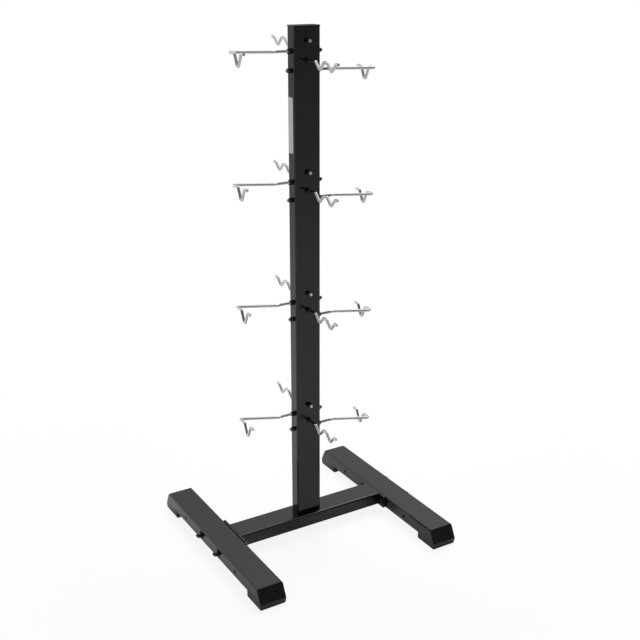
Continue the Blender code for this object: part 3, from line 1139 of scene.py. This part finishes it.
@dataclass(frozen=True)
class Foot:
    """A rail's foot: a pad with lips, a slanted plate over the rail's end, and a plug inside it."""

    pad: float = 19.0 * MM
    lip: float = 4.4 * MM
    rail_gap: float = 0.05 * MM
    plate_gap: float = 0.075 * MM
    toe_taper: float = 4.0 * MM
    plate: float = 3.0 * MM
    corner: float = 6.0 * MM
    edge: float = 1.2 * MM
    edge_share: float = 0.45
    edge_steps: int = 4
    crease: float = 0.35 * MM
    crease_levels: tuple[int, ...] = (-4, -2, 0, 2, 4)
    plug_length: float = 18.0 * MM
    plug_wall: float = 2.0 * MM
    grooves: int = 5
    groove_width: float = 3.0 * MM
    groove_depth: float = 1.2 * MM
    groove_taper: float = 0.6
    groove_spacing: float = 11.0 * MM
    steps: int = 8

    def build(self, end: Side, side: Side, tube: Tube, slant: float) -> None:
        """Builds the foot.

        Args:
            end: The end of the rail.
            side: The side of the rail.
            tube: The rail's tube.
            slant: How far the rail's end leans back from upright.
        """
        node = f"{end.word}_{side.word}_foot"
        box = Extent.of(node)
        heel, knuckle = sorted((abs(box.low.y), abs(box.high.y)))
        half, thick = box.size.x / 2, self.plate / math.cos(slant)
        rail_middle = self.pad + FIT + tube.depth / 2

        def inner_face(z: float) -> float:
            """How far out the plate's inner face is at a height."""
            return knuckle - (z - self.pad) * math.tan(slant) - thick

        def plug_loop(outline: Outline, reach: float) -> Loop:
            """Stands an outline of the plug in the rail, that far in from the plate."""
            heights = [(x, rail_middle + z) for x, z in outline]
            return [Vector((x, inner_face(z) - reach, z)) for x, z in heights]

        room = self.room(tube)
        space = [
            [Vector((x, heel - self.corner, z)) for x, z in room],
            [Vector((x, inner_face(z) - self.plate_gap, z)) for x, z in room],
        ]
        ends = (-thick / 2, self.plug_length)
        mesh = self.block(half, box.high.z, (heel, knuckle), slant)
        mesh = joined(mesh, Solid("room").loft(space).mesh(), Join.CUT)
        mesh = joined(mesh, sleeve("plug", tube.plug(self.plug_wall), plug_loop, ends), Join.ADD)
        mesh = joined(mesh, self.grip(half, (knuckle + heel) / 2), Join.CUT)
        turn = 0.0 if end is Side.BACK else math.pi
        show(f"{node}_moulding", mesh, PLASTIC, node, Vector((box.middle.x, 0, 0)), turn)

    def block(
        self, half: float, top: float, reach: tuple[float, float], slant: float
    ) -> bpy.types.Mesh:
        """The pad, full up to its lips, and the slanted plate, with rounded edges.

        Args:
            half: Half the foot's width.
            top: The height of the plate's top.
            reach: How far out the heel and the knuckle are.
            slant: How far the plate leans back from upright.

        Returns:
            The mesh.
        """
        heel, knuckle = reach
        thick = self.plate / math.cos(slant)

        def face(z: float) -> float:
            """The outer face, with a soft crease above the toe.

            Args:
                z: The height.

            Returns:
                How far out it is.
            """
            toe = knuckle - self.toe_taper * (1 - z / self.pad)
            plate = knuckle - (z - self.pad) * math.tan(slant)
            gap = abs(toe - plate)
            return min(toe, plate) - self.crease * math.log1p(math.exp(-gap / self.crease))

        turns = [QUARTER_TURN * i / self.steps for i in range(self.steps + 1)]
        edge = [self.corner * (1 - math.cos(turn)) for turn in turns]
        rise = self.pad + self.lip
        pad = edge + [self.pad + self.crease * i for i in self.crease_levels] + [rise]
        loops = []
        for i, z in enumerate([*pad, rise, *(top - z for z in reversed(edge))]):
            wide = half - max(rounded_off(z, self.corner), rounded_off(top - z, self.corner))
            soft = rounded_off(min(z, top - z), self.edge)
            far = face(z) - soft
            near = heel + soft if i < len(pad) else face(z) - thick
            middle, deep = (far + near) / 2, far - near
            corner = min(self.edge, deep * self.edge_share)
            outline = rounded_rectangle(2 * wide, deep, corner, self.edge_steps)
            loops.append([Vector((a, b + middle, z)) for a, b in outline])
        return Solid("foot").loft(loops).mesh()

    def room(self, tube: Tube) -> Outline:
        """The outline of the room for the rail, round below and open above.

        Args:
            tube: The rail's tube.

        Returns:
            The outline, across the rail.
        """
        radius, across = tube.corner + self.rail_gap, tube.width / 2 - tube.corner
        middle = self.pad + FIT + tube.corner
        top = math.asin((tube.corner - self.lip) / radius)
        turns = [top + (QUARTER_TURN - top) * i / self.steps for i in range(self.steps + 1)]
        half = [(across + radius * math.cos(top), middle + 2 * tube.depth)]
        half += [(across + radius * math.cos(t), middle - radius * math.sin(t)) for t in turns]
        return half + [(-a, b) for a, b in reversed(half)]

    def grip(self, half: float, middle: float) -> bpy.types.Mesh:
        """What cuts the grip grooves across the pad's underside.

        Args:
            half: Half the foot's width.
            middle: How far out the pad's middle is.

        Returns:
            The mesh.
        """
        tool = Solid("grip")
        reach = half - self.corner - self.groove_width
        low, high, taper = -self.groove_width, self.groove_depth, self.groove_taper
        section = ((-1, low), (1, low), (taper, high), (-taper, high))
        for i in range(self.grooves):
            y = middle + (i - (self.grooves - 1) / 2) * self.groove_spacing
            points = [(y + a * self.groove_width / 2, z) for a, z in section]
            tool.loft([along_x(points, -reach), along_x(points, reach)])
        return tool.mesh()


@dataclass(frozen=True)
class Bolts:
    """The bolts through the flange plates and rails, with a washer and a nut each."""

    diameter: float = 10.0 * MM
    flats: float = 16.0 * MM
    head: float = 6.4 * MM
    threaded: float = 24.0 * MM
    pitch: float = 1.5 * MM
    thread_depth: float = 0.85 * MM
    point: float = 1.0 * MM
    washer_width: float = 25.0 * MM
    washer_edge: float = 0.3 * MM
    clearance: float = 0.5 * MM
    nut_turns: tuple[float, ...] = (10.0, 17.0, 41.0, 52.0)
    bolt_turns: tuple[float, ...] = (12.0, 38.0, 49.0, 6.0)

    def build(self, end: Side, side: Side) -> None:
        """Builds the washer, the nut and the bolt at one hole of a flange.

        Args:
            end: The end of the rail.
            side: The side of the rack.
        """
        order = 2 * (side is Side.RIGHT) + (end is Side.BACK)
        kinds = (
            ("washer", self.washer, 0.0),
            ("nut", self.nut, self.nut_turns[order]),
            ("bolt", self.bolt, self.bolt_turns[order]),
        )
        for kind, make, turn in kinds:
            node = f"{end.word}_{side.word}_{kind}"
            box = Extent.of(node)
            mesh = make(box.size.x)
            mesh.transform(Matrix.Rotation(math.radians(turn), 4, "X"))
            start = box.low.x if side is Side.RIGHT else box.high.x
            place = Vector((start, box.middle.y, box.middle.z))
            show(f"{node}_steel", mesh, BLACK_STEEL, node, place, side.turn)

    def washer(self, thick: float) -> bpy.types.Mesh:
        """A washer with rounded edges.

        Args:
            thick: Its thickness along X.

        Returns:
            The mesh.
        """
        wide, bore = self.washer_width / 2, self.diameter / 2 + self.clearance
        end = [(bore, 0.0), (wide - self.washer_edge, 0.0), (wide, self.washer_edge)]
        profile = end + [(radius, thick - x) for radius, x in reversed(end)]
        loops = [along_x(circle(radius), x) for radius, x in profile]
        return Solid("washer").loft(loops, ring=True).mesh()

    def nut(self, height: float) -> bpy.types.Mesh:
        """A nut along X, of that height."""
        bore = self.diameter + 2 * self.clearance
        return Hexagon(self.flats, height).nut("base_nut", bore, self.point)

    def bolt(self, length: float) -> bpy.types.Mesh:
        """A hexagon bolt, from its head to its threaded end.

        Args:
            length: Its whole length along X.

        Returns:
            The mesh.
        """
        hexagon = Hexagon(self.flats, self.head)
        lower, upper = hexagon.rim()
        shank, face = self.diameter / 2, circle(hexagon.face)
        thread = Thread(self.pitch, self.thread_depth, length - self.threaded, length)
        loops = [along_x(face, 0.0), lower, upper]
        loops += [along_x(face, self.head), along_x(circle(shank), self.head)]
        for x in thread.stations()[1:]:
            tip = shank - rounded_off(length - x, self.point)
            ring = []
            for a, b in circle(1.0):
                radius = min(tip, shank - thread.groove(x, math.atan2(b, a)))
                ring.append(Vector((x, radius * a, radius * b)))
            loops.append(ring)
        return Solid("bolt").loft(loops).mesh(sharp=40.0)


@dataclass(frozen=True)
class Base:
    """The crossbar, the flange plates and the rails, with their feet and bolts."""

    slant: float = math.radians(27.0)
    bolt_spacing: float = 116.0 * MM
    bolt_hole: float = 11.0 * MM
    spare_spacing: float = 338.0 * MM
    spare_hole: float = 10.0 * MM
    flange_corner: float = 5.0 * MM
    flange_edge: float = 0.6 * MM
    foot: Foot = Foot()
    bolts: Bolts = Bolts()

    def build(self, tube: Tube) -> None:
        """Builds every piece of the base.

        Args:
            tube: The tube that the rack is made of.
        """
        self.crossbar(tube)
        for side in (Side.LEFT, Side.RIGHT):
            self.rail(side, tube)
            self.flange(side)
            for end in (Side.FRONT, Side.BACK):
                self.foot.build(end, side, tube, self.slant)
                self.bolts.build(end, side)

    def crossbar(self, tube: Tube) -> None:
        """Builds the tube between the rails.

        Args:
            tube: The tube that the rack is made of.
        """
        box = Extent.of("crossbar")
        mesh = sleeve("crossbar", tube.skins, along_x, (box.low.x, box.high.x))
        tube.show("crossbar_tube", mesh, "crossbar", 0, Vector((0, 0, box.middle.z)))

    def rail(self, side: Side, tube: Tube) -> None:
        """Builds one rail, with slanted ends and its holes.

        Args:
            side: The side of the rack.
            tube: The tube that the rack is made of.
        """
        node = f"{side.word}_rail"
        box = Extent.of(node)
        lean = math.tan(self.slant)
        reach = box.high.y - (box.middle.z - box.low.z) * lean

        def end_loop(outline: Outline, end: float) -> Loop:
            """Stands an outline at an end of the rail, leaning back."""
            return [Vector((a, end * (reach - b * lean), b)) for a, b in outline]

        holes = self.pairs(2 * tube.width, self.bolt_spacing, self.bolt_hole)
        holes += self.pairs(2 * tube.width, self.spare_spacing, self.spare_hole)
        mesh = drilled(sleeve(node, tube.skins, end_loop, (-1, 1)), holes)
        tube.show(f"{node}_tube", mesh, node, 1, Vector((box.middle.x, 0, box.middle.z)))

    def flange(self, side: Side) -> None:
        """Builds one flange plate, with rounded edges and its bolt holes.

        Args:
            side: The side of the rack.
        """
        node = f"{side.word}_flange"
        box = Extent.of(node)
        half = box.size.x / 2
        inner, outer = (
            rounded_rectangle(box.size.y - 2 * by, box.size.z - 2 * by, self.flange_corner - by)
            for by in (self.flange_edge, 0.0)
        )
        end = [(inner, -half), (outer, self.flange_edge - half)]
        loops = [along_x(outline, x) for outline, x in end]
        loops += [along_x(outline, -x) for outline, x in reversed(end)]
        holes = self.pairs(4 * box.size.x, self.bolt_spacing, self.bolt_hole)
        mesh = drilled(Solid(node).loft(loops).mesh(), holes)
        show(f"{node}_plate", mesh, POWDER_COAT, node, box.middle)

    @staticmethod
    def pairs(length: float, spacing: float, diameter: float) -> list[Hole]:
        """Two holes of that length and diameter along X, the spacing apart."""
        run = Vector((length, 0, 0))
        return [(Vector((0, end * spacing / 2, 0)), run, diameter) for end in (-1, 1)]


# The studio


@dataclass(frozen=True)
class Glow:
    """A soft bright patch on the studio's walls and ceiling, as the rack reflects it."""

    toward: tuple[float, float, float]
    strength: float
    focus: float

    def seen(self, board: Board, direction: Signal) -> Signal:
        """Its brightness in a direction."""
        facing = board.vector("DOT_PRODUCT", direction, Vector(self.toward).normalized())
        return self.strength * facing.at_least(0.0) ** self.focus


@dataclass(frozen=True)
class Dimming:
    """How the floor dims with distance on one side of the rack, in reflections."""

    far_level: float
    gain: float
    offset: float
    brightest: float

    def seen(self, far: Signal) -> Signal:
        """The floor's brightness at a distance from the rack's middle."""
        return (self.far_level + self.gain / (far + self.offset)).at_most(self.brightest)


@dataclass(frozen=True)
class Softbox:
    """A soft lamp that lights the set. Its reflection is one of the room's glows."""

    name: str
    place: tuple[float, float, float]
    size: float
    power: float

    def build(self, target: Vector) -> None:
        """Hangs the lamp and points it at the target.

        Args:
            target: The target.
        """
        data = bpy.data.lights.new(self.name, "AREA")
        data.shape = "SQUARE"
        data.size = self.size
        data.energy = self.power
        lamp = placed(self.name, data)
        lamp.location = self.place
        lamp.rotation_euler = (target - Vector(self.place)).to_track_quat("-Z", "Y").to_euler()
        lamp.visible_camera = False
        lamp.visible_glossy = False


@dataclass(frozen=True)
class Rays:
    """What kind of ray meets a surface."""

    camera: Signal
    mirrored: Signal

    @classmethod
    def on(cls, board: Board) -> "Rays":
        """The camera's rays, and those that metal, gloss and glass send on.

        Args:
            board: The surface's nodes.

        Returns:
            Both.
        """
        camera, glossy, through = (
            board.node("ShaderNodeLightPath", output=f"Is {kind} Ray")
            for kind in ("Camera", "Glossy", "Transmission")
        )
        return cls(camera, glossy.at_least(through))


@dataclass(frozen=True)
class Studio:
    """A white sweep in a dim room, lit by a soft panel above and behind and one in front."""

    reach: float = 80.0
    floor_colour: Colour = grey(0.9)
    floor_roughness: float = 0.7
    floor_specular: float = 0.2
    shadow_share: float = 0.12
    shadow_reach: tuple[float, float] = (0.5, 1.6)
    mirrored_share: float = 0.5
    room: float = 0.08
    ceiling: float = 0.55
    ceiling_rise: tuple[float, float] = (0.48, 0.85)
    daylight: float = 0.12
    glows: tuple[Glow, ...] = (
        Glow((0.53, 0.32, 0.78), 1.5, 6.0),
        Glow((0.45, 0.35, 0.82), 7.0, 300.0),
        Glow((-0.50, 0.84, 0.20), 1.15, 5.0),
    )
    lamps: tuple[Softbox, ...] = (
        Softbox("top_softbox", (0.9, 1.15, 3.0), 2.2, 114.0),
        Softbox("front_softbox", (-2.6, -3.0, 2.4), 2.6, 45.0),
    )
    pool: float = 0.815
    pool_reach: float = 2.9
    pool_fall: float = 1.5
    ahead: tuple[float, float, float] = (-0.515, 0.857, 0.0)
    behind: Dimming = Dimming(0.47, 0.87, 1.0, 0.86)
    before: Dimming = Dimming(0.18, 2.15, 3.0, 0.67)
    halfway: tuple[float, float] = (-0.6, 0.6)
    middle: float = 0.05
    close: float = 0.89
    close_reach: tuple[float, float] = (0.2, 1.0)
    target: tuple[float, float, float] = (0.0, 0.0, 0.7)

    def build(self) -> None:
        """Builds the floor, the room and the lamps."""
        bpy.context.scene.view_settings.view_transform = "Standard"
        self.floor()
        self.walls()
        for lamp in self.lamps:
            lamp.build(Vector(self.target))

    def floor(self) -> None:
        """The white floor, which keeps the rack's soft shadow."""
        corners = [
            (a * self.reach, b * self.reach, 0.0) for a, b in ((-1, -1), (1, -1), (1, 1), (-1, 1))
        ]
        mesh = bpy.data.meshes.new("floor")
        mesh.from_pydata(corners, [], [(0, 1, 2, 3)])
        material = bpy.data.materials.new("studio_floor")
        board = Board(material)
        rays = Rays.on(board)
        matt = {
            "Base Color": self.floor_colour,
            "Roughness": self.floor_roughness,
            "Specular IOR Level": self.floor_specular,
        }
        lit = board.node("ShaderNodeBsdfPrincipled", {}, matt)
        far = board.vector("LENGTH", board.place())
        unlit = self.falloff(board, far) - self.mirrored_share * self.lit_level(far)
        white = rays.camera + rays.mirrored * unlit.at_least(0.0) / (1 - self.mirrored_share)
        glow = board.node("ShaderNodeEmission", {}, {"Color": white, "Strength": 1.0})
        shadows = self.shadow_share * (1 - far.rise(*self.shadow_reach))
        share = (1 - shadows) * rays.camera + (1 - self.mirrored_share) * rays.mirrored
        mixed = board.node("ShaderNodeMixShader", {}, {0: share, 1: lit, 2: glow})
        board.node("ShaderNodeOutputMaterial", {}, {"Surface": mixed})
        mesh.materials.append(material)
        placed("floor", mesh)

    def lit_level(self, far: Signal) -> Signal:
        """How bright the lamps and the daylight make the floor where nothing shades it."""
        spread = (1 + (far / self.pool_reach) ** 2) ** self.pool_fall
        return self.floor_colour[0] * self.daylight + self.pool / spread

    def falloff(self, board: Board, far: Signal) -> Signal:
        """How the floor dims with distance in reflections, most of all towards the dark front.

        Args:
            board: The floor's nodes.
            far: The distance from the rack's middle.

        Returns:
            The floor's brightness in a mirror.
        """
        along = board.vector("DOT_PRODUCT", board.place(), self.ahead)
        share = (along / far.at_least(self.middle)).rise(*self.halfway)
        shade = self.close + (1 - self.close) * far.rise(*self.close_reach)
        return (self.behind.seen(far) * share + self.before.seen(far) * (1 - share)) * shade

    def walls(self) -> None:
        """The room around the sweep: white to the eye, and dim with soft glows in reflections."""
        world = bpy.data.worlds.new("studio")
        board = Board(world)
        rays = Rays.on(board)
        direction = board.node("ShaderNodeTexCoord", output="Generated")
        height = board.node("ShaderNodeSeparateXYZ", {}, {"Vector": direction}, "Z")
        ceiling = self.ceiling * height.rise(*self.ceiling_rise)
        mirrored = self.room + ceiling + sum(glow.seen(board, direction) for glow in self.glows)
        plain = (1 - rays.camera - rays.mirrored).at_least(0.0) * self.daylight
        light = rays.camera + rays.mirrored * mirrored + plain
        shader = board.node("ShaderNodeBackground", {}, {"Color": light, "Strength": 1.0})
        board.node("ShaderNodeOutputWorld", {}, {"Surface": shader})
        bpy.context.scene.world = world


@dataclass(frozen=True)
class Camera:
    """A camera on a tripod in front of the rack, on its left."""

    place: tuple[float, float, float] = (-1.36347, -2.34997, 1.64550)
    tilt: float = 70.40777
    pan: float = -31.02701
    sensor: float = 36.0
    lens: float = 56.0185

    def build(self) -> None:
        """Sets the camera up and makes it the scene's own."""
        data = bpy.data.cameras.new("camera")
        data.sensor_width = data.sensor_height = self.sensor
        data.lens = self.lens
        camera = placed("camera", data)
        camera.location = self.place
        camera.rotation_euler = (math.radians(self.tilt), 0.0, math.radians(self.pan))
        bpy.context.scene.camera = camera


def main() -> None:
    """Builds the scene, class by class."""
    logging.basicConfig(level=logging.INFO, format="%(message)s")
    hooks = Hooks()
    tube = Post().build(hooks)
    Base().build(tube)
    hooks.build(Extent.of("upright_post"))
    Studio().build()
    Camera().build()


if __name__ == "__main__":
    main()
